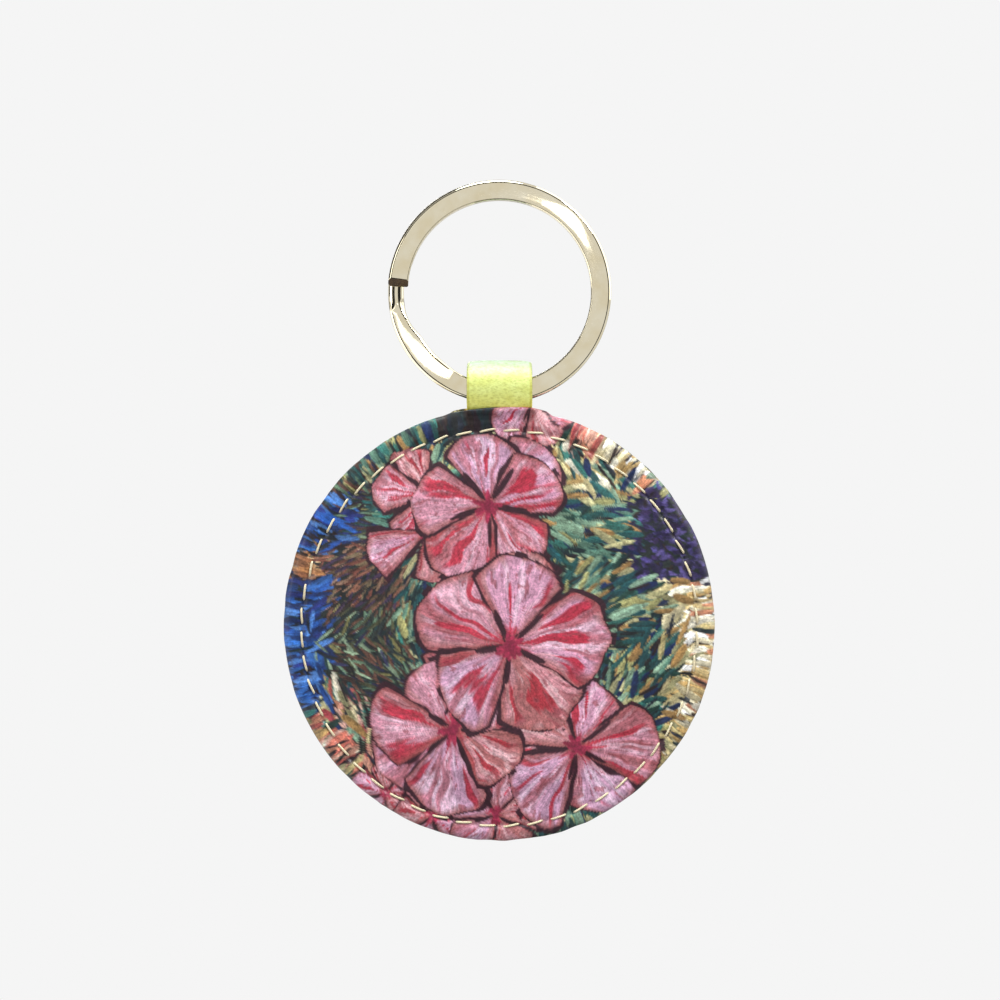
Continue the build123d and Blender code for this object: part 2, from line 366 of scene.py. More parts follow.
def lime_leather():
    """Lime calf leather, dyed and lightly glazed: fine wrinkled grain with painted shade, darker and
    yellower, in its creases, and a soft sheen along the fold from the glaze and from the strap's painted
    highlight."""
    material, tree = new_material("lime_leather_light_glaze")
    # The strap's tone carries its painted light: paler near the fob and a painted highlight at the top.
    tone = node(tree, "Attribute", "Color", attribute_name="tone")
    where = node(tree, "TexCoord", "Object")
    slant = {"Vector": where, "Rotation": (0, 0.75, 0), "Scale": (0.65, 1, 1.1)}
    slanted = node(tree, "Mapping", "Vector", slant)
    height = grain_height(tree, slanted, 0.34, 0.6)
    patches = node(tree, "TexNoise", "Fac", {"Vector": where, "Scale": per_mm(1.3), "Detail": 3.0})
    stops = ((0.3, (0.94, 0.90, 0.70)), (0.7, (1.06, 1.05, 1.08)))
    uneven = node(tree, "ValToRGB", "Color", {"Fac": patches}, stops)
    # Painted shade in the grain's creases: darker and yellower where the grain is low.
    stops = ((0.22, (0.72, 0.70, 0.46)), (0.55, (1.06, 1.06, 1.04)))
    painted_crease_shade = node(tree, "ValToRGB", "Color", {"Fac": height}, stops)
    shade = node(tree, "Mix", "Result", {"Factor": 1.0, "A": tone, "B": uneven}, **MULTIPLY)
    shade = node(tree, "Mix", "Result", {"Factor": 1.0, "A": shade, "B": painted_crease_shade}, **MULTIPLY)
    relief = node(tree, "Bump", "Normal", {"Height": height, "Strength": 0.8, "Distance": 0.09 * MM})
    glazed = {"Base Color": shade, "Roughness": 0.42, "IOR": 1.48, "Normal": relief}
    glazed.update({"Coat Weight": 0.25, "Coat Roughness": 0.28})
    shader = node(tree, "BsdfPrincipled", "BSDF", glazed)
    node(tree, "OutputMaterial", None, {"Surface": shader})
    return material


def twisted_thread():
    """Bonded polyester thread, three plies twisted: slanting ply ridges with painted shade between them."""
    material, tree = new_material("bonded_thread_twisted")
    colour = bpy.context.scene.fob_stitch.thread
    place = node(tree, "Attribute", "Vector", attribute_name="thread_place")
    twist = {"Vector": place, "Scale": 1.0, "Distortion": 0.6, "Detail": 1.0}
    plies = node(tree, "TexWave", "Fac", twist, wave_type="BANDS", bands_direction="DIAGONAL")
    # Painted shade: the grooves between the plies are darker.
    painted_groove_shade = [0.62 * colour[0], 0.56 * colour[1], 0.45 * colour[2]]
    shade = node(tree, "ValToRGB", "Color", {"Fac": plies}, ((0.1, painted_groove_shade), (0.55, colour)))
    relief = node(tree, "Bump", "Normal", {"Height": plies, "Strength": 0.6, "Distance": 0.05 * MM})
    bonded = {"Base Color": shade, "Roughness": 0.55, "IOR": 1.5, "Sheen Weight": 0.3, "Normal": relief}
    shader = node(tree, "BsdfPrincipled", "BSDF", bonded)
    node(tree, "OutputMaterial", None, {"Surface": shader})
    return material


def speckled(name, dark, light, size, rough, distance):
    """A plain worked surface, such as pressed board, foam, split lining or sheared steel, from two
    tones of speckle of one size in millimetres."""
    material, tree = new_material(name)
    where = node(tree, "TexCoord", "Object")
    specks = {"Vector": where, "Scale": per_mm(size), "Detail": 6.0, "Roughness": 0.65}
    specks = node(tree, "TexNoise", "Fac", specks)
    stops = ((0.3, linear(dark)), (0.7, linear(light)))
    shade = node(tree, "ValToRGB", "Color", {"Fac": specks}, stops)
    relief = node(tree, "Bump", "Normal", {"Height": specks, "Strength": 0.6, "Distance": distance * MM})
    plain = {"Base Color": shade, "Roughness": rough, "Normal": relief}
    node(tree, "OutputMaterial", None, {"Surface": node(tree, "BsdfPrincipled", "BSDF", plain)})
    return material


# Split ring

# Where the front turn's end is, and how far each turn and the crossover run, in degrees.
FRONT_END_ANGLE = 175.0
TURN_ARC = 290.0
CROSSOVER_ARC = 60.0
RING_STEPS = 780
# How far the front end's slanting cut runs along the wire from back to front, in millimetres, and
# over how many degrees the sections behind it straighten.
END_SLOPE = 1.05
END_STRAIGHTENS = 8.0
# The tilt of the flat that the press leaves, in degrees, and the least thickness that it leaves.
PRESS_TILT = 29.0
LEAST_THICKNESS = 0.12

# The edge of a wire face, from its flat middle outwards: arc lengths in millimetres and the tilt,
# in degrees, that the surface has turned to at the end of each.
FACE_CROWN = 1.2
WIRE_EDGE = ((0.08, 5.0), (0.15, 24.0), (0.05, 36.0), (0.25, 55.0), (0.12, 90.0))
FACE_STEPS = 6
EDGE_STEPS = (3, 6, 3, 5, 5)
INNER_EDGE_SIZE = 0.55


def half_face(width, edge_size):
    """One half of a wire face as distances from its middle and depths below it: the tilt is
    added up along the arc, as cosines for the distance and sines for the depth."""
    lengths, tilts = [], []
    before = FACE_CROWN
    for (length, tilt), steps in zip(WIRE_EDGE, EDGE_STEPS, strict=True):
        share = (np.arange(steps) + 0.5) / steps
        lengths.extend([length * edge_size / steps] * steps)
        tilts.extend(np.radians(before + (tilt - before) * share))
        before = tilt
    lengths, tilts = np.array(lengths), np.array(tilts)
    flat = width / 2 - (lengths * np.cos(tilts)).sum()
    share = (np.arange(FACE_STEPS) + 0.5) / FACE_STEPS
    lengths = np.concatenate([np.full(FACE_STEPS, flat / FACE_STEPS), lengths])
    tilts = np.concatenate([np.radians(FACE_CROWN * share), tilts])
    distance = np.concatenate([[0], np.cumsum(lengths * np.cos(tilts))])
    depth = np.concatenate([[0], np.cumsum(lengths * np.sin(tilts))])
    return distance, depth


def wire_section(width, thickness):
    """The flat wire's whole section: four half faces set back to back. Distances grow outwards
    from the ring's centre, and heights towards the back."""
    out, out_depth = half_face(width, 1.0)
    inner, inner_depth = half_face(width, INNER_EDGE_SIZE)
    x = np.concatenate([out, out[::-1], -inner[1:], -inner[:0:-1]])
    front, back = -thickness / 2, thickness / 2
    y = np.concatenate(
        [front + out_depth, back - out_depth[::-1], back - inner_depth[1:], front + inner_depth[:0:-1]]
    )
    return x, y


def build_ring(settings):
    """The wire's section carried along its path: each ring of points is the section, set at the
    wire's radius and layer and swept round by the angle. The wire runs clockwise seen from the
    front: a front turn, a crossover pressed down to the back layer, then a back turn. The press
    leaves a slanting flat along the crossover's inner edge."""
    width, thickness = settings.wire_width / MM, settings.wire_thickness / MM
    x, y = wire_section(width, thickness)
    run = np.linspace(0, 1, RING_STEPS)[:, None] * (2 * TURN_ARC + CROSSOVER_ARC)
    # How far along the crossover each section is: below 0 before it, above 1 after.
    cross = (run - TURN_ARC) / CROSSOVER_ARC
    half_gap = (settings.wire_thickness + settings.turn_gap) / 2 / MM
    sunk = np.cumsum(bump(cross, 0.0, 0.10, 0.88, 1.0), axis=0)
    layer = half_gap * (2 * sunk / sunk[-1] - 1)
    # The inner edge first bulges inwards, then is squeezed outwards where the turns meet.
    inward = 0.25 * bump(cross, -0.06, 0.22, 0.55, 0.75) - 0.60 * bump(cross, 0.55, 0.90, 1.14, 1.40)
    inner = np.clip(0.5 - x / width, 0, 1)[None]
    radius = RING_RADIUS - width / 2 + x[None] - inward * inner
    front = (y < 0)[None]
    flat = 0.26 * bump(cross, -0.04, 0.16, 0.95, 1.02) + 0.55 * bump(cross, 0.80, 0.97, 0.98, 1.03)
    pressed = np.maximum(flat - x[None] - width / 2, 0) * np.tan(np.radians(PRESS_TILT))
    rolled = 0.34 * bump(cross, 0.93, 1.0, 1.16, 1.26) * (2 * x[None] / width) ** 2
    depth = y[None] + front * (pressed + rolled)
    depth = np.minimum(depth, np.maximum(thickness / 2 - LEAST_THICKNESS, y[None]))
    cut = np.clip(1 - run / END_STRAIGHTENS, 0, 1) * END_SLOPE / RING_RADIUS
    swept = np.radians(FRONT_END_ANGLE - run) + cut * (y[None] / thickness)
    rings = np.stack([radius * np.cos(swept), layer + depth, RING_Z + radius * np.sin(swept)], axis=-1)
    piece = swept_piece(
        "split_ring_wire", rings, flip=True, slot="ring_plating", body="ring", stands_for=("split_ring",)
    )
    length = np.radians(run) * RING_RADIUS
    around = np.linspace(0, 2 * (width + thickness), len(x))[None]
    place = np.stack([length + 0 * around, around + 0 * length], axis=-1).reshape(-1, 2)
    store_flat(piece, "wire_place", np.concatenate([place, np.zeros((2, 2))]))
    return piece


# Tab

# How far below the wire's middle the two sides of the strap come together, and how far below that
# they lie flat, in millimetres.
CROTCH_DROP = 3.3
FLAT_DROP = 1.7


def rounded_section(width, thickness, radius, count):
    """A strap's section: a rectangle with rounded corners. Each point starts on a circle whose
    two parts are stretched away from the middle."""
    turn = np.linspace(0, 2 * np.pi, count, endpoint=False)
    turn = turn + 0.22 * np.sin(4 * turn)
    across, up = np.cos(turn), np.sin(turn)
    share = np.clip(across * 1.35, -1, 1)
    x = (width / 2 - radius) * np.sign(share) * np.abs(share) ** 0.8 + radius * across
    return x, (thickness / 2 - radius) * np.clip(up * 2.2, -1, 1) + radius * up


def strap_line(settings, count):
    """The middle line of the strap, from the front tail's end over the wire to the back tail's.

    One half is a straight tail, a curve that leans out from it, and an arc round the wire; the
    curve is a cubic whose two handles lie along the tail and along the arc's tangent. The other
    half is its mirror image. The points are then spaced evenly along the line."""
    thickness = settings.strap_thickness / MM
    radius = LINING_RADIUS + 0.05 + thickness / 2
    rise = TAB_TOP - PIVOT_Z - radius - thickness / 2
    crotch = np.arcsin((radius - thickness / 2) / CROTCH_DROP)
    start = np.array([-thickness / 2, PIVOT_Z - CROTCH_DROP - FLAT_DROP])
    tail = np.linspace((-thickness / 2, TAIL_BOTTOM), start, 40)
    turn = np.linspace(-crotch, np.pi / 2, 120)
    lifted = PIVOT_Z + rise * eased((turn + crotch) / 1.2)
    arc_part = np.stack([-radius * np.cos(turn), lifted + radius * np.sin(turn)], -1)
    lean = np.array([np.sin(crotch), -np.cos(crotch)])
    share = np.linspace(0, 1, 60)[:, None]
    handles = (start, start + (0, 1.5), arc_part[0] + lean * 1.1, arc_part[0])
    weights = ((1 - share) ** 3, 3 * share * (1 - share) ** 2, 3 * share**2 * (1 - share), share**3)
    curve = sum(weight * handle for weight, handle in zip(weights, handles, strict=True))
    half = np.concatenate([tail, curve[1:], arc_part[1:]])
    line = np.concatenate([half, half[-2::-1] * (-1, 1)])
    steps = np.concatenate([[0], np.cumsum(np.linalg.norm(np.diff(line, axis=0), axis=1))])
    even = np.linspace(0, steps[-1], count)
    return np.stack([np.interp(even, steps, line[:, 0]), np.interp(even, steps, line[:, 1])], -1)


def build_strap(settings):
    """The strap's section, a rectangle with soft corners, carried along its middle line. It is a
    little narrower where the tab is squeezed, its edges wander slightly, and its corners droop
    over the wire. Its colour has painted light: paler near the fob, lifting the shade where the
    strap curves in, and a paler, cooler painted highlight at the top; it is darker on its cut sides."""
    rings, count = 260, 64
    line = strap_line(settings, rings)
    along = np.gradient(line, axis=0)
    along /= np.linalg.norm(along, axis=1)[:, None]
    outward = np.stack([-along[:, 1], along[:, 0]], -1)
    x, y = rounded_section(TAB_WIDTH, settings.strap_thickness / MM, 0.42, count)
    where = line[:, 1]
    width = 1 - 0.012 * ridge(where - (PIVOT_Z - 3.6), 1.2)
    edge = 0.06 * (value_noise(np.arange(rings) / 17.0, np.zeros(rings), 3) - 0.5)
    droop = 0.50 * ridge(where - TAB_TOP, 0.75)[:, None] * (x[None] / (TAB_WIDTH / 2)) ** 14
    across = x[None] * width[:, None] + edge[:, None] * np.sign(x[None])
    height = y[None] - droop
    points = np.stack([across, *(line.T[:, :, None] + outward.T[:, :, None] * height)], -1)
    piece = swept_piece(
        "tab_strap_leather", points, flip=True, slot="tab_leather", body="fob", stands_for=("tab_strap",)
    )
    base = np.array(settings.leather[:])
    tone = np.tile(base, (rings, count, 1))
    tone[:, np.abs(x) > TAB_WIDTH / 2 - 0.35] = base * (0.86, 0.80, 0.55)
    # Painted light: paler towards the fob, where the strap curves in and lies in shade, and a paler, cooler
    # painted highlight at the top, over the wire.
    low = eased((PIVOT_Z + 0.3 - where) / 3.2)[:, None, None]
    high = eased((where - PIVOT_Z - 1.2) / 2.0)[:, None, None]
    tone = tone * (1 + low * np.array([0.66, 0.50, 0.10])) * (1 + high * np.array([-0.34, -0.24, 0.62]))
    store_colours(piece, "tone", np.concatenate([tone.reshape(-1, 3), [base, base]]))
    return piece


# Covers

# Each cover's own seed for its unevenness, by the side it is on: -1 is the front, 1 the back.
COVER_SEED = {-1: 11, 1: 23}
# Where the padding ends, and over what width it rises from there.
PADDING_RADIUS = 25.2
PADDING_STEP = 5.2
# Half the thickness of the folded strap in the fob, and how much more it is over the wire.
FLAT_HALF = 1.2
EYE_HALF = 1.6
# How far to each side of the middle the strap's pocket reaches, and over what width it closes.
POCKET_SIDE = 5.9
POCKET_SLOPE = 1.5
# The gap between the strap and the covers, and the most that the strap spreads their edges.
STRAP_GAP = 0.03
EDGE_SPREAD = 2.15
# How much wider than half the rim's thickness the fold is, and its rings of points.
FOLD_EXTRA = 0.60
FOLD_STEPS = 14
# The hem's rings of points: how far in from the edge they are, and how deep in the fob.
HEM_RINGS = ((4.2, 0.0), (4.3, 0.8), (4.6, 0.8), (8.6, 1.5))


def strap_half(height):
    """Half the thickness of the folded strap at a height: round over the wire, flat in the fob."""
    return FLAT_HALF + EYE_HALF * eased((height - PIVOT_Z + CROTCH_DROP + 0.85) / 2.2)


def lift(x, height):
    """How strongly a point of a cover is lifted by the strap: fully over it, not at all beside."""
    return eased((7.2 - np.abs(x)) / 3.0) * eased((height - TAIL_BOTTOM + 0.5) / 4.0)


def stitch_circle(stitch):
    """The height of the stitch circle's centre and its radius, in millimetres."""
    return FOB_Z - stitch.drop / MM, FOB_RADIUS - stitch.inset / MM


def stitch_place(x, height, stitch):
    """Distance of a point from the stitch circle, and along it from the nearest hole."""
    centre, radius = stitch_circle(stitch)
    phase = np.arctan2(x, height - centre) / (2 * np.pi) * stitch.count
    along = (phase - np.round(phase)) * 2 * np.pi * radius / stitch.count
    return np.hypot(x, height - centre) - radius, along


def face_height(x, height, hand, cover, stitch):
    """Height of a cover's outer face above the mid-plane: the flat rim and padded middle with a
    soft step between, lifted over the strap, pressed in along the stitch row and at its holes,
    puffed up between them, and a little uneven all over."""
    radius = np.hypot(x, height - FOB_Z)
    rim, centre = cover.rim_half / MM, cover.centre_half / MM
    face = rim + (centre - rim) * eased((PADDING_RADIUS - radius) / PADDING_STEP)
    lifted = np.maximum(face, strap_half(height) + cover.skin / MM)
    face = face + (lifted - face) * lift(x, height)
    out, along = stitch_place(x, height, stitch)
    groove = 0.13 * ridge(out, 0.42)
    hole = 0.26 * ridge(out, 0.32) * ridge(along, 0.62)
    puff = 0.07 * ridge(np.abs(out) - 0.95, 0.5) * np.cos(along * 2 * np.pi / 3.2 + np.pi)
    roll = 0.10 * ridge(out - 1.1, 0.6)
    # Lumps, ripples and pebbles: how high each is, its size, and how its noise is shifted.
    uneven = 0
    for number, (amount, size, shift) in enumerate(((0.20, 5.5, 40), (0.07, 1.7, 40), (0.03, 0.7, 150))):
        noise = value_noise(x / size, height / size, COVER_SEED[hand] + number, shift)
        uneven = uneven + amount * (noise - 0.5)
    return face - groove - hole + puff + roll + uneven * eased((28.3 - radius) / 1.5)


def pocket_half(x, height, most=np.inf):
    """Half the depth of the pocket that the strap's tails need between the covers at a place."""
    half = np.minimum(strap_half(height) + STRAP_GAP, most)
    return half * eased((POCKET_SIDE - np.abs(x)) / POCKET_SLOPE) * (height > FOB_Z)


def disc_grid(cells):
    """A square grid bent into a disc: the larger of the two square coordinates becomes the
    radius, and the ratio of the other to it the angle. Returns radius share and angle."""
    line = np.linspace(-1, 1, cells + 1)
    a, b = np.meshgrid(line, line, indexing="ij")
    wide = np.abs(a) >= np.abs(b)
    safe_a, safe_b = np.where(a == 0, 1, a), np.where(b == 0, 1, b)
    share = np.where(wide, a, b)
    angle = np.where(wide, np.pi / 4 * b / safe_a, np.pi / 2 - np.pi / 4 * a / safe_b)
    angle = np.where((a == 0) & (b == 0), 0, angle)
    return np.abs(share), np.where(share < 0, angle + np.pi, angle)


def border(cells):
    """The numbers of a square grid's edge points, in order round the square."""
    side, line = cells + 1, np.arange(cells)
    return np.concatenate([line * side, cells * side + line, (cells - line) * side + cells, cells - line])


def build_cover(name, hand, settings, stitch, cells=268):
    """One cover as a closed skin: a disc grid for its face, then rings that carry its edge round
    the fold to the mid-plane, in along the hem, and back under the skin to the middle. hand is -1
    for the front and 1 for the back. Also returns each point's place with the skin laid flat."""
    seed = COVER_SEED[hand]
    fold = settings.rim_half / MM / 2
    roll = fold + FOLD_EXTRA
    face_radius = FOB_RADIUS - roll
    share, angle = disc_grid(cells)
    radius, angle = (share * face_radius).ravel(), angle.ravel()
    x, height = radius * np.cos(angle), FOB_Z + radius * np.sin(angle)
    face = face_height(x, height, hand, settings, stitch)
    points = [np.stack([x, hand * face, height], -1)]
    flat = [np.stack([x, radius * np.sin(angle)], -1)]
    edge = border(cells)
    edge_angle, edge_face = angle[edge], face[edge]
    cos, sin = np.cos(edge_angle), np.sin(edge_angle)
    wobble = 0.18 * (value_noise(edge_angle * 2.4 + 50, 0 * edge_angle, seed + 5) - 0.5)
    pleats = 0.14 * (value_noise(edge_angle * 15 + 150, 0 * edge_angle, seed + 6) - 0.5)
    # The lip in front of the tab stands a little proud of the circle, more so on the right.
    across = face_radius * cos * -hand
    proud = 0.16 * bump(across, -7.2, -6.0, 5.6, 7.0) + 0.30 * bump(across, 0.0, 4.5, 5.8, 7.0)
    # A small dent in the edge lies at the lower left.
    dent = 0.22 * ridge(edge_angle * -hand + 2.28, 0.035)
    wobble = wobble + eased((sin - 0.5) / 0.3) * proud - dent
    rings = []
    # Round the fold: half an oval from the face to the inner side, which the strap lifts.
    for turn in np.pi * np.arange(1, FOLD_STEPS + 1) / FOLD_STEPS:
        swing = np.sin(turn)
        out = face_radius + roll * swing
        inner = pocket_half(out * cos, FOB_Z + out * sin, EDGE_SPREAD)
        outer = np.maximum(edge_face, inner + settings.skin / MM)
        side = np.sign(np.cos(turn)) * np.abs(np.cos(turn)) ** 0.75
        depth = (outer + inner) / 2 + (outer - inner) / 2 * side + 0.5 * pleats * swing * side
        out = out + swing * (wobble - 0.08 + pleats)
        rings.append((out, depth, face_radius + turn * (fold + roll) / 2))
    for reach, depth in HEM_RINGS:
        out = FOB_RADIUS - reach + 0 * cos
        rings.append((out, np.maximum(depth, pocket_half(out * cos, FOB_Z + out * sin)), FOB_RADIUS + reach))
    for out, depth, reach in rings:
        points.append(np.stack([out * cos, hand * depth, FOB_Z + out * sin], -1))
        flat.append(np.stack([reach * cos, reach * sin], -1))
    points.append(np.array([[0, hand * HEM_RINGS[-1][1], FOB_Z]]))
    flat.append(np.array([[0.0, 0.0]]))
    points, flat = np.concatenate(points), np.concatenate(flat)
    count = len(edge)
    start = (cells + 1) ** 2
    here = np.concatenate([edge[None], start + np.arange(len(rings) * count).reshape(-1, count)])
    after = np.roll(here, -1, axis=1)
    sides = np.stack([here[:-1], after[:-1], after[1:], here[1:]], -1).reshape(-1, 4)
    piece = new_piece(
        name,
        points,
        np.concatenate([grid_faces(cells + 1, cells + 1), sides]),
        np.stack([here[-1], after[-1], np.full(count, len(points) - 1)], -1),
        flip=hand < 0,
        slot="printed_leather",
        body="fob",
        stands_for=("front_cover" if hand < 0 else "back_cover",),
    )
    return piece, flat


# Print

PALETTE = {
    "leaf": "#1F5252 #2F6A62 #1A4A50 #78967E #86A48C #5A8270 #A09C66 #16352F #14244F #B8B284 #23484A #A07A4A",
    "bark": "#5A3A30 #3A2622 #6E4A3C #26302E #4A4A34 #5E7A62 #2A2A4A #7A7448 #1E3A3A #8AA084",
    "dark": "#15191C #1B2230 #2A1C1A #13262A #22141C",
    "blue": "#1E4F9E #2F66B5 #183C7E #4A7AC0 #12285A #22307A",
    "brown": "#6E3E34 #4A2A24 #8A5A48 #2E2420 #5E4A38 #3A2A44 #7A6A50 #9A7660",
    "lace": "#F4EEDC #E6D8AC #D8BE86 #FFFFFF #C8A468 #D08A6A #EADFC0",
    "indigo": "#2E2450 #3A3060 #1E183C #453C78 #33254F #181430 #241C3E #5E5290",
    "cream": "#DDD0A8 #C9B67E #E9E2CC #B8965E #CFC08E #A8824E #8E8A64",
    "salmon": "#C8705F #B4544E #CF9480 #B87A62 #9A3A42 #D3A598",
    "tan": "#B87E50 #C79A6C #946040 #D0AC84",
}
INK = "#2E0F1C"
# The side of a bin in millimetres, and how many lie along each side of the canvas.
BIN = 1.5
BINS = 48


class Canvas:
    """A surface laid flat: its points in millimetres from the fob's centre, their colours as sRGB
    shares, which a painter mixes, and the way the brushwork runs past them. Points are sorted
    into square bins to be found fast."""

    def __init__(self, flat, hand, seed):
        self.x = flat[:, 0] * -hand
        self.z = flat[:, 1]
        self.colour = np.zeros((len(flat), 3))
        self.flow = np.zeros((len(flat), 3))
        self.rng = np.random.default_rng(seed)
        bins = self.bin(self.x) * BINS + self.bin(self.z)
        self.order = np.argsort(bins, kind="stable")
        self.starts = np.searchsorted(bins[self.order], np.arange(BINS * BINS + 1))

    def bin(self, place):
        """The number of the bin that a coordinate falls in."""
        return np.clip((np.asarray(place) / BIN + BINS / 2).astype(int), 0, BINS - 1)

    def near(self, x, z, reach):
        """The points within reach of a place, and some a little beyond."""
        low, high = self.bin(z - reach), self.bin(z + reach)
        found = []
        for column in range(self.bin(x - reach), self.bin(x + reach) + 1):
            first, last = self.starts[column * BINS + low], self.starts[column * BINS + high + 1]
            found.append(self.order[first:last])
        return np.concatenate(found)

    def local(self, index, x, z, angle):
        """How far points lie along and across a direction from a place."""
        right, up = self.x[index] - x, self.z[index] - z
        cos, sin = np.cos(angle), np.sin(angle)
        return right * cos + up * sin, up * cos - right * sin

    def lay(self, index, colour, cover):
        """Lays colour over points, as strongly as cover says."""
        self.colour[index] = mixed(self.colour[index], colour, cover)

    def pick(self, name):
        """A colour of one of the palettes, a little varied."""
        codes = PALETTE[name].split()
        shade = hex_share(codes[self.rng.integers(len(codes))])
        return np.clip(shade * self.rng.uniform(0.78, 1.08), 0, 1)


def brush(canvas, x, z, angle, length, width, colour, strength=0.95):
    """One leaf-shaped brush stroke: widest in its middle, a little bent, lighter on one side."""
    index = canvas.near(x, z, length / 2)
    if len(index) == 0:
        return
    along, across = canvas.local(index, x, z, angle)
    across = across - canvas.rng.uniform(-0.12, 0.12) / max(length, 0.5) * along * along
    half = width / 2 * np.sqrt(np.clip(1 - (2 * along / length) ** 2, 0, 1)) ** 0.8
    cover = np.clip((half - np.abs(across)) / 0.12 + 0.35, 0, 1) * (half > 0) * strength
    shade = 1 + 0.16 * np.clip(across / (width / 2), -1, 1)
    canvas.lay(index, np.clip(colour[None] * shade[:, None], 0, 1), cover)


def petal(canvas, x, z, angle, size, fan, tones):
    """One broad petal from its blossom's centre outwards. Its half width grows with the distance
    from the centre until a rounded, slightly cornered tip takes over; pale bands and red wedges
    fan out along it, and its edge is dusky with a dark outline."""
    index = canvas.near(x + size / 2 * np.cos(angle), z + size / 2 * np.sin(angle), size * 0.85)
    if len(index) == 0:
        return
    rng = canvas.rng
    seed = int(rng.integers(1 << 30))
    pale, rose, light, red, eye, dusk, freckle = (hex_share(tone)[None] for tone in (*tones, *PETAL_DARKS))
    # Along and across the petal, as shares of its size, with its sides bent and its edge wandering.
    along, across = canvas.local(index, x, z, angle)
    a, b = along / size, across / size
    b = b - rng.uniform(-0.14, 0.14) * a * a
    wander = value_noise(b * 5, a * 5, seed, 20) - 0.5
    a = a + 0.07 * wander + rng.uniform(-0.45, 0.45) * b * np.clip(a - 0.45, 0, 1)
    cone = 0.012 + fan * np.clip(a, 0, 2) ** 0.95
    tip = 0.50 * np.clip(1 - np.abs((a - 0.52) / 0.48) ** 2.4, 0, 1) ** 0.6
    half = np.minimum(cone, np.where(a < 0.52, 0.50, tip)) * (a > 0) * (a < 1)
    gap = (half - np.abs(b)) * size
    line = 0.04 + 1.15 * value_noise(b * 6, a * 6, seed + 1, 60)
    near = gap + line * np.clip(a * 3, 0.4, 1) * np.clip(size / 9, 0.5, 1)
    outline = np.clip(near / 0.14, 0, 1) * (a > 0.05) * (a < 1.06)
    canvas.lay(index, hex_share(INK)[None], 0.95 * outline)
    # Patterns that fan out with the petal: broad bands, fine ones, hairs and wedges.
    rib = np.arctan2(b, np.maximum(a, 0.05)) / np.arctan(fan) + 0.25 * wander
    ribs, fine, hair, wedge = (
        value_noise(rib * fanned, a * long, seed + 2 + number, 30)
        for number, (fanned, long) in enumerate(((4.0, 1.5), (9, 3.0), (17, 6), (4.6, 1.7)))
    )
    wedge = wedge + 0.18 * (hair - 0.5)
    dashes = (value_noise(rib * 13, a * 9, seed + 6, 80) > 0.78) & (a > 0.35)
    rim = np.clip(1 - gap / (0.26 * size * (0.10 + 0.90 * fine)), 0, 1)
    colour = mixed(rose, pale, eased((ribs - 0.28) / 0.30))
    colour = mixed(colour, light, 0.85 * eased((fine - 0.45) / 0.3) * eased((a - 0.12) / 0.25))
    colour = mixed(colour, red, 0.92 * eased((wedge - 0.68) / 0.09) * eased((0.97 - a) / 0.2))
    colour = mixed(colour, eye, 0.8 * eased((0.17 - a + 0.26 * (ribs - 0.5)) / 0.10))
    colour = mixed(colour, dusk, 0.85 * rim)
    colour = colour * (0.80 + 0.22 * hair + 0.08 * fine)[:, None]
    colour = mixed(colour, freckle, 0.55 * dashes)
    canvas.lay(index, np.clip(colour, 0, 1), np.clip(gap / 0.12, 0, 1))
    # The brushwork inside runs outwards from the blossom's centre.
    right, up = canvas.x[index] - x, canvas.z[index] - z
    flow = np.stack([np.hypot(up, right), np.arctan2(up, right) * 9.0, 0.60 + 0 * up], -1)
    canvas.flow[index] = np.where((gap > 0)[:, None], flow, canvas.flow[index])


# Each petal's pale, rose, light and red tones, then the eye, rim and freckles that all share.
PETAL_TONES = (
    ("#D49AB6", "#B9707F", "#E2BCD0", "#B0263C"),
    ("#CF90A4", "#B26872", "#DCB0C2", "#B62E42"),
    ("#CC9CBA", "#BA7688", "#DFC0D6", "#A82A3E"),
    ("#CC8C96", "#B06A6C", "#DAB0B6", "#A42C38"),
)
PETAL_DARKS = ("#A8283E", "#96504E", "#8A4048")


def blossom(canvas, x, z, size, turn, petals, fan):
    """A round blossom: two odd petals peeping out behind, overlapping petals laid in turn, dark
    clefts between them near the middle, and a crimson eye."""
    rng = canvas.rng
    step = 2 * np.pi / petals if petals > 3 else 1.15

    def ray(angle, start, reach, width, colour):
        """A stroke that points away from the centre, and begins at a distance from it."""
        middle = start + reach / 2
        brush(canvas, x + middle * np.cos(angle), z + middle * np.sin(angle), angle, reach, width, colour)

    for _ in range(2 if size > 9 else 0):
        tones = PETAL_TONES[rng.integers(len(PETAL_TONES))]
        petal(canvas, x, z, rng.uniform(0, 2 * np.pi), size * rng.uniform(0.92, 1.02), 0.5, tones)
    for number in rng.permutation(petals):
        angle = turn + number * step + rng.uniform(-0.10, 0.10)
        tones = PETAL_TONES[rng.integers(len(PETAL_TONES))]
        petal(canvas, x, z, angle, size * rng.uniform(0.86, 1.06), fan * rng.uniform(0.84, 1.04), tones)
    for number in range(petals):
        angle = turn + (number + 0.5) * step + rng.uniform(-0.10, 0.10)
        reach = size * rng.uniform(0.26, 0.50)
        ray(angle, size * 0.09, reach, size * rng.uniform(0.05, 0.085), hex_share(INK))
    for _ in range(12):
        angle = rng.uniform(0, 2 * np.pi)
        reach = size * rng.uniform(0.10, 0.22)
        ray(angle, 0, reach, size * 0.06, hex_share("#8E2440") * rng.uniform(0.85, 1.15))
    index = canvas.near(x, z, size * 0.2)
    distance = np.hypot(canvas.x[index] - x, canvas.z[index] - z) / size
    canvas.lay(index, hex_share("#7E1E3A")[None], np.clip((0.075 - distance) / 0.02, 0, 1))


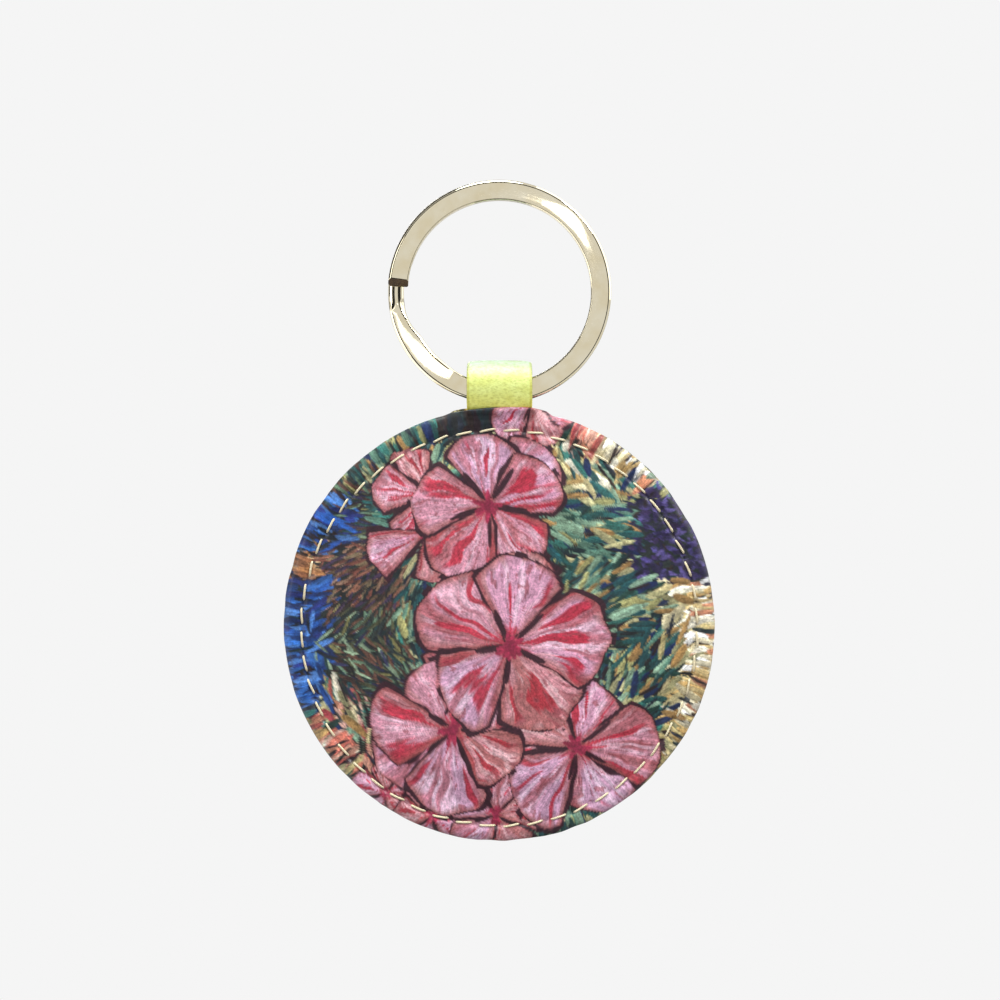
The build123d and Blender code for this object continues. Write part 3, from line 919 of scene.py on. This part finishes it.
def region(x, z, rng):
    """Which palette a leaf takes at a place: blue on the left, indigo upper right, cream down the
    right edge, salmon lower left, a touch of tan on the left edge, and foliage elsewhere."""
    stray = rng.uniform(-1.2, 1.2)
    if x + stray < -23.5 and -12 < z + stray < 6.5:
        return "blue"
    if x < -25.0 and 6.5 < z + stray < 10.5:
        return "tan"
    if x + stray < -20.5 and 10.5 < z + stray < 17.0:
        return "blue"
    if x + stray < -12.5 and 2.0 < z + 0.3 * stray < 11.0:
        return "brown"
    if x + 0.5 * stray > 17.4 and 5.6 < z + 0.5 * stray < 18.4:
        return "indigo"
    if x + stray > 26.0 - 0.010 * (z + 3) ** 2 and -14 < z + stray < 7.0:
        return "lace"
    if x + stray > 22.5 - 0.012 * (z + 5) ** 2 and -21 < z + stray < 6.5:
        return "cream"
    if 9.5 < x + stray < 13.5 and z > 22.5:
        return "salmon"
    if 13.0 < x + stray < 21.5 and z + 0.5 * x > 28.5:
        return "lace"
    if 4.0 < x + stray < 14.5 and z > 17.5:
        return "cream" if rng.random() < 0.6 else "leaf"
    if x + z + stray < -29 and z < -8:
        return ("salmon", "salmon", "cream", "leaf")[rng.integers(4)]
    if -8.5 < x + stray < 1.5 and z > 25:
        return "dark"
    return "bark" if x + 0.25 * z + 3 * stray < -12 else "leaf"


# How far from the middle leaves are painted, how far out they turn towards the edge, and how many
# there are.
CANVAS_RADIUS = 32.5
EDGE_LEAVES = 26.0
LEAVES = 9000


def paint(canvas, blossoms):
    """The whole print: dark ground, layers of leaves that stream away from the blossoms and turn
    straight outwards at the edge, thin dark strokes between them, then the blossoms."""
    rng = canvas.rng
    ground = value_noise(canvas.x / 1.3, canvas.z / 1.3, 5, 50)
    canvas.colour[:] = mixed(hex_share("#12181A")[None], hex_share("#2A3230")[None], ground)
    centres = np.array([b[:2] for b in blossoms])
    towards = np.stack([canvas.x, canvas.z], -1)[:, None] - centres[None]
    nearest = ((towards**2).sum(-1)).argmin(1)
    offset = towards[np.arange(len(towards)), nearest]
    reach, turn = np.hypot(canvas.x, canvas.z), np.arctan2(canvas.z, canvas.x)
    outside = reach > EDGE_LEAVES
    canvas.flow[:, 0] = np.where(outside, reach, np.hypot(*offset.T))
    canvas.flow[:, 1] = np.where(outside, turn * 27.0, np.arctan2(offset[:, 1], offset[:, 0]) * 11.0)
    canvas.flow[:, 2] = 0.8
    for number in range(LEAVES):
        away = CANVAS_RADIUS * np.sqrt(rng.random())
        turn = rng.uniform(0, 2 * np.pi)
        x, z = away * np.cos(turn), away * np.sin(turn)
        name = region(x, z, rng)
        nearest = centres[np.argmin(((centres - (x, z)) ** 2).sum(1))]
        flow = np.arctan2(z - nearest[1], x - nearest[0]) + rng.normal(0, 0.28)
        if away > EDGE_LEAVES:
            flow = turn + rng.normal(0, 0.14)
        if name in ("bark", "brown"):
            length, width = rng.uniform(1.6, 3.2), rng.uniform(0.30, 0.55)
        else:
            length, width = rng.uniform(2.4, 4.6), rng.uniform(0.55, 1.15)
        if name == "indigo":
            flow = rng.uniform(0, np.pi)
            length, width = rng.uniform(0.9, 1.9), rng.uniform(0.5, 0.85)
        colour = canvas.pick(name)
        if number % 4 == 3:
            length, width = length * 0.8, width * 0.6
            colour = canvas.pick("dark")
        brush(canvas, x, z, flow, length, width, colour)
    for entry in blossoms:
        blossom(canvas, *entry)
    weave = value_noise(canvas.x * 2.7, canvas.z * 2.7, 9, 90)
    canvas.colour *= (0.88 + 0.24 * weave)[:, None]


# Each blossom: its place from the fob's centre and its size in millimetres, its turn, how many
# petals it has and how broadly they fan.
FRONT_BLOSSOMS = (
    (-15.2, -22.5, 4.8, 0.3, 5, 0.70),
    (-9.0, -25.6, 5.6, 0.6, 5, 0.70),
    (-0.5, -25.5, 6.6, 0.2, 5, 0.70),
    (4.4, 29.6, 6.0, 1.2, 5, 0.70),
    (-9.6, 17.6, 7.6, 1.95, 3, 0.62),
    (-9.6, 12.6, 8.2, 3.6, 3, 0.50),
    (-1.4, 16.0, 11.0, 0.42, 5, 0.70),
    (10.4, -16.4, 10.8, 0.05, 5, 0.70),
    (-6.2, -14.0, 11.0, 0.75, 5, 0.70),
    (1.4, -2.8, 12.6, 0.15, 5, 0.70),
)
BACK_BLOSSOMS = (
    (17.0, -17.5, 5.2, 0.8, 5, 0.70),
    (-18.5, -18.0, 5.5, 0.1, 5, 0.70),
    (0.5, -27.0, 6.0, 0.4, 5, 0.70),
    (-22.0, 14.0, 5.0, 0.9, 5, 0.70),
    (16.0, 15.5, 6.0, 1.9, 3, 0.60),
    (5.6, 14.2, 10.8, 0.9, 5, 0.70),
    (-9.0, -12.5, 11.2, 0.3, 5, 0.70),
    (9.0, -9.0, 10.4, 0.6, 5, 0.70),
    (-7.2, 5.2, 12.0, 0.5, 5, 0.70),
)


def print_cover(piece, flat, hand, seed, blossoms):
    """Paints a cover's print and scuffs it lightly along the fold."""
    canvas = Canvas(flat, hand, seed)
    paint(canvas, blossoms)
    fold = ridge(np.hypot(canvas.x, canvas.z) - FOB_RADIUS - 0.2, 0.5)
    scuff = fold * value_noise(canvas.x * 2, canvas.z * 2, 31, 80)
    colour = mixed(np.clip(canvas.colour, 0, 1), hex_share("#B8AC98")[None], 0.18 * scuff)
    store_colours(piece, "print", linear(colour))
    store_flat(piece, "brushwork", canvas.flow)


# Thread


def build_thread(name, hand, cover, stitch, node_name):
    """One thread all the way round: a small circle carried along the stitch row. Its height rides
    just above the cover and dives under it at each hole, and each stitch leans a little."""
    per_stitch, count = 26, 8
    rings = per_stitch * stitch.count
    run = np.arange(rings) / per_stitch
    centre, radius = stitch_circle(stitch)
    pitch = 2 * np.pi * radius / stitch.count
    hole = (run - np.round(run)) * pitch
    number = np.floor(run + 1e-9).astype(int)
    rng = np.random.default_rng(5 if hand < 0 else 6)
    lean = rng.uniform(0.02, 0.16, stitch.count)[number % stitch.count]
    shift = rng.uniform(-0.05, 0.05, stitch.count)[number % stitch.count]
    corners = (0, 0.2, 0.8, 1)
    out = lean * np.interp(run - number, corners, (0, -1, 1, 0))
    out = out + shift * np.interp(run - number, corners, (0, 1, 1, 0))
    turn = run / stitch.count * 2 * np.pi
    x, height = (radius + out) * np.sin(turn), centre + (radius + out) * np.cos(turn)
    thick = stitch.diameter / MM / 2
    depth = face_height(x, height, hand, cover, stitch) + thick * 0.70
    depth = depth + 0.04 * np.cos(hole * 2 * np.pi / pitch + np.pi) - 0.62 * np.exp(-((hole / 0.60) ** 4))
    line = np.stack([x, hand * depth, height], -1)
    along = np.roll(line, -1, axis=0) - np.roll(line, 1, axis=0)
    along /= np.linalg.norm(along, axis=1)[:, None]
    side = np.cross(along, np.array([0, hand, 0.0]))
    side /= np.linalg.norm(side, axis=1)[:, None]
    up = np.cross(side, along)
    around = np.linspace(0, 2 * np.pi, count, endpoint=False)
    offset = side[:, None] * np.cos(around)[None, :, None] + up[:, None] * np.sin(around)[None, :, None]
    points = (line[:, None] + thick * offset).reshape(-1, 3)
    order = np.arange(count)
    after = (order + 1) % count
    last = (rings - 1) * count
    join = np.stack([last + order, last + after, after, order], -1)
    quads = np.concatenate([grid_faces(rings, count, closed=True), join])
    piece = new_piece(
        name, points, quads, flip=True, slot="thread", body="fob", stands_for=(node_name,)
    )
    # The plies' pattern reads one place along the thread and one round it.
    place = [np.repeat(run * pitch / 0.55 * 3.14, count), np.tile(around / (2 * np.pi) * 6.28, rings)]
    store_flat(piece, "thread_place", np.stack(place, -1))
    return piece


# Stage

# The camera's distance and the width that it shows at the ring, and the place at its middle.
CAMERA_DISTANCE = 374.0
FRAME_WIDTH = 134.5
VIEW_CENTRE = (0.07, -40.28)
BACKDROP_RADIUS = 1600.0
FLOOR_Z = -700.0
# Each lamp's place, size in millimetres, power and colour.
LAMPS = {
    "key_light": ((360, -330, 380), 220, 3.2, (1.0, 1.0, 1.0)),
    "top_light": ((-40, -120, 420), 260, 2.2, (0.90, 1.0, 0.99)),
    "fill_light": ((-420, -420, 40), 420, 1.5, (1.0, 1.0, 1.0)),
    "back_light": ((-180, 560, 260), 420, 3.6, (1.0, 1.0, 1.0)),
}
# The cards at the sides that the ring's edges mirror: where each starts and stops, in degrees
# about the front-to-back axis, and how brightly it shines. All have one radius and depth.
SIDE_RADIUS = 500
SIDE_DEPTHS = (-250, 250)
SIDE_CARDS = {
    "dark_left": (105, 178, 0.05),
    "dark_low": (252, 287, 0.05),
    "bright_right": (0, 72, 2.2),
    "bright_lower_left": (182, 248, 1.7),
}
# How far in front and behind the cards stand that the ring's flat faces mirror, and the dark
# collar nearer by, with the collar's inner and outer radius.
FACE_CARDS = 600
COLLAR = 430
COLLAR_RADII = (123, 390)
# The height at which the eye, mirrored in the middle of the ring's face, meets those cards.
MIRRORED_Z = 33.0
# How far from there, in millimetres, the slope of the crossover throws the view.
SLOPE_SEEN = 106.0
CARD_STEPS = 64


def area_light(name, place, size, power, colour):
    """A soft round lamp at a place in millimetres, turned towards the middle of the view."""
    lamp = bpy.data.lights.new(name, "AREA")
    lamp.shape = "DISK"
    lamp.size = size * MM
    lamp.energy = power
    lamp.color = colour
    holder = bpy.data.objects.new(name, lamp)
    bpy.context.scene.collection.objects.link(holder)
    start, end = Vector(place) * MM, Vector((0, 0, VIEW_CENTRE[1])) * MM
    holder.location = start
    holder.rotation_euler = (end - start).to_track_quat("-Z", "Y").to_euler()


def glow_material(name, seen, lighting, shining):
    """A surface that shines softly: one strength for what the eye sees, one for what it lights
    and one for what mirrors show of it."""
    material, tree = new_material(name)
    colour = rgba(bpy.context.scene.fob_stage.backdrop)
    shown = None
    for strength, ray in ((lighting, None), (shining, "Is Glossy Ray"), (seen, "Is Camera Ray")):
        glow = node(tree, "Emission", "Emission", {"Color": colour, "Strength": strength})
        if ray:
            glow = node(tree, "MixShader", "Shader", {0: node(tree, "LightPath", ray), 1: shown, 2: glow})
        shown = glow
    node(tree, "OutputMaterial", None, {"Surface": shown})
    return material


def build_backdrop():
    """A big pale bowl all round, whose bottom is the floor: a sphere given by its two angles,
    flattened below."""
    around = np.linspace(0, 2 * np.pi, 96, endpoint=False)[None]
    tilt = np.linspace(0.0, np.pi, 49)[1:-1, None]
    x, y = np.sin(tilt) * np.cos(around), np.sin(tilt) * np.sin(around)
    rings = BACKDROP_RADIUS * np.stack([x, y, np.cos(tilt) + 0 * x], -1)
    rings[..., 2] = np.maximum(rings[..., 2], FLOOR_Z)
    return swept_piece("backdrop", rings, [[0, 0, BACKDROP_RADIUS], [0, 0, FLOOR_Z]])


def card(name, first, second, strength):
    """A surface ruled between two curves, in millimetres, that only mirrors see: bright or dark,
    it draws the highlights and lines on polished metal."""
    piece = new_piece(name, np.concatenate([first, second]), grid_faces(2, len(first)))
    material, tree = new_material(name)
    shine = node(tree, "Emission", "Emission", {"Color": (1, 1, 1, 1), "Strength": strength})
    node(tree, "OutputMaterial", None, {"Surface": shine})
    dress(piece, material)
    for sight in ("visible_camera", "visible_diffuse", "visible_shadow", "visible_transmission"):
        setattr(piece, sight, False)


def arc(radius, depth, centre_z, start, stop):
    """Points on an arc about the front-to-back axis, at a depth, between two angles in degrees."""
    turn = np.radians(np.linspace(start, stop, CARD_STEPS))
    return np.stack([radius * np.cos(turn), depth + 0 * turn, centre_z + radius * np.sin(turn)], -1)


def oval(depth, place, long, short, lean):
    """The two halves of an oval's outline at a depth, its long side leaning by an angle."""
    turn = np.linspace(0, np.pi, 48)
    lean = np.radians(lean)
    halves = []
    for hand in (1, -1):
        u, v = long * np.cos(turn), hand * short * np.sin(turn)
        x = place[0] + u * np.cos(lean) - v * np.sin(lean)
        z = place[1] + u * np.sin(lean) + v * np.cos(lean)
        halves.append(np.stack([x, depth + 0 * x, z], -1))
    return halves


class FOB_OT_stage(bpy.types.Operator):
    """Build the pale backdrop, the soft lights and the camera"""

    bl_idname = "fob.stage"
    bl_label = "Stage"

    def execute(self, context):
        scene = context.scene
        strength = scene.fob_stage.light
        backdrop = build_backdrop()
        dress(backdrop, glow_material("backdrop_glow", 1.0, 0.43 * strength, 0.95))
        for name, (place, size, power, colour) in LAMPS.items():
            area_light(name, place, size, power * strength, colour)
        swell = 5 * np.sin(np.linspace(0, np.pi, CARD_STEPS)) ** 0.5
        for name, hand in (("front", -1), ("back", 1)):
            near, far = hand * COLLAR, hand * FACE_CARDS
            collar = [arc(radius, near, RING_Z, 0, 360) for radius in COLLAR_RADII]
            card(f"dark_collar_{name}", *collar, 0.03)
            card(f"bright_oval_{name}", *oval(far, (25.0, MIRRORED_Z + 26.0), 22, 9.5, 46), 3.6)
            strip = [arc(SLOPE_SEEN + side * swell, far, MIRRORED_Z, 127, 170) for side in (-1, 1)]
            card(f"bright_strip_{name}", *strip, 3.0)
        for name, (start, stop, shine) in SIDE_CARDS.items():
            card(name, *[arc(SIDE_RADIUS, depth, RING_Z, start, stop) for depth in SIDE_DEPTHS], shine)
        camera = bpy.data.cameras.new("camera")
        camera.sensor_width = 36.0
        camera.lens = 36.0 * CAMERA_DISTANCE / FRAME_WIDTH
        camera.clip_start = 0.01
        camera.clip_end = 10.0
        holder = bpy.data.objects.new("camera", camera)
        scene.collection.objects.link(holder)
        holder.location = (VIEW_CENTRE[0] * MM, -CAMERA_DISTANCE * MM, VIEW_CENTRE[1] * MM)
        holder.rotation_euler = (np.pi / 2, 0, 0)
        scene.camera = holder
        scene.view_settings.view_transform = "Standard"
        scene.view_settings.look = "None"
        return {"FINISHED"}


class FOB_OT_ring(bpy.types.Operator):
    """Build the flat-wire split ring"""

    bl_idname = "fob.ring"
    bl_label = "Split ring"

    def execute(self, context):
        piece = build_ring(context.scene.fob_ring)
        dress(piece, plated_steel())
        piece.data.materials.append(speckled("steel_wire_sheared", "#2A1C10", "#6A5238", 0.4, 0.4, 0.03))
        corners = np.empty(len(piece.data.polygons), np.int32)
        piece.data.polygons.foreach_get("loop_total", corners)
        piece.data.polygons.foreach_set("material_index", (corners == 3).astype(np.int32))
        piece.data.polygons.foreach_set("use_smooth", corners == 4)
        return {"FINISHED"}


class FOB_OT_tab(bpy.types.Operator):
    """Build the folded leather tab and finish the ply inside it"""

    bl_idname = "fob.tab"
    bl_label = "Leather tab"

    def execute(self, context):
        dress(build_strap(context.scene.fob_tab), lime_leather())
        ply = speckled("split_lining_buffed", "#8F9048", "#B9BC6A", 0.35, 0.8, 0.05)
        dress(frame["nodes"]["tab_lining"], ply)
        return {"FINISHED"}


class FOB_OT_covers(bpy.types.Operator):
    """Build the two printed covers with their turned edges"""

    bl_idname = "fob.covers"
    bl_label = "Printed covers"

    def execute(self, context):
        scene = context.scene
        leather = printed_leather()
        for name, hand, blossoms in (
            ("front_cover_leather", -1, FRONT_BLOSSOMS),
            ("back_cover_leather", 1, BACK_BLOSSOMS),
        ):
            piece, flat = build_cover(name, hand, scene.fob_cover, scene.fob_stitch)
            print_cover(piece, flat, hand, scene.fob_cover.print_seed + hand, blossoms)
            dress(piece, leather)
        return {"FINISHED"}


class FOB_OT_stitches(bpy.types.Operator):
    """Build the needle thread and the bobbin thread"""

    bl_idname = "fob.stitches"
    bl_label = "Stitches"

    def execute(self, context):
        scene = context.scene
        material = twisted_thread()
        for name, hand, node_name in (
            ("needle_thread_row", -1, "needle_thread"),
            ("bobbin_thread_row", 1, "bobbin_thread"),
        ):
            dress(build_thread(name, hand, scene.fob_cover, scene.fob_stitch, node_name), material)
        return {"FINISHED"}


class FOB_OT_core(bpy.types.Operator):
    """Finish the board and the foam inside the fob"""

    bl_idname = "fob.core"
    bl_label = "Board and foam"

    def execute(self, context):
        nodes = frame["nodes"]
        dress(nodes["stiffener_board"], speckled("pressed_board", "#7A6A52", "#A39376", 0.5, 0.85, 0.04))
        foam = speckled("felted_foam", "#CFCBBE", "#EFEDE6", 0.4, 0.95, 0.10)
        for name in ("front_foam", "back_foam"):
            dress(nodes[name], foam)
        return {"FINISHED"}


BUILD_STEPS = (FOB_OT_stage, FOB_OT_ring, FOB_OT_tab, FOB_OT_covers, FOB_OT_stitches, FOB_OT_core)


class FOB_PT_panel(bpy.types.Panel):
    """Lists the fob's settings and its build steps"""

    bl_idname = "FOB_PT_panel"
    bl_label = "Key Fob"
    bl_space_type = "VIEW_3D"
    bl_region_type = "UI"
    bl_category = "Key Fob"

    def draw(self, context):
        for name, group in SETTINGS.items():
            box = self.layout.box()
            for field in group.__annotations__:
                box.prop(getattr(context.scene, name), field)
        for step in BUILD_STEPS:
            self.layout.operator(step.bl_idname)


def register():
    """Registers the settings, the operators and the panel."""
    for name, group in SETTINGS.items():
        bpy.utils.register_class(group)
        setattr(bpy.types.Scene, name, PointerProperty(type=group))
    for step in (*BUILD_STEPS, FOB_PT_panel):
        bpy.utils.register_class(step)


def unregister():
    """Takes them away again."""
    for step in reversed((*BUILD_STEPS, FOB_PT_panel)):
        bpy.utils.unregister_class(step)
    for name, group in reversed(SETTINGS.items()):
        delattr(bpy.types.Scene, name)
        bpy.utils.unregister_class(group)


def main():
    """Builds everything in order."""
    register()
    for step in BUILD_STEPS:
        group, name = step.bl_idname.split(".")
        getattr(getattr(bpy.ops, group), name)()


if __name__ == "__main__":
    main()
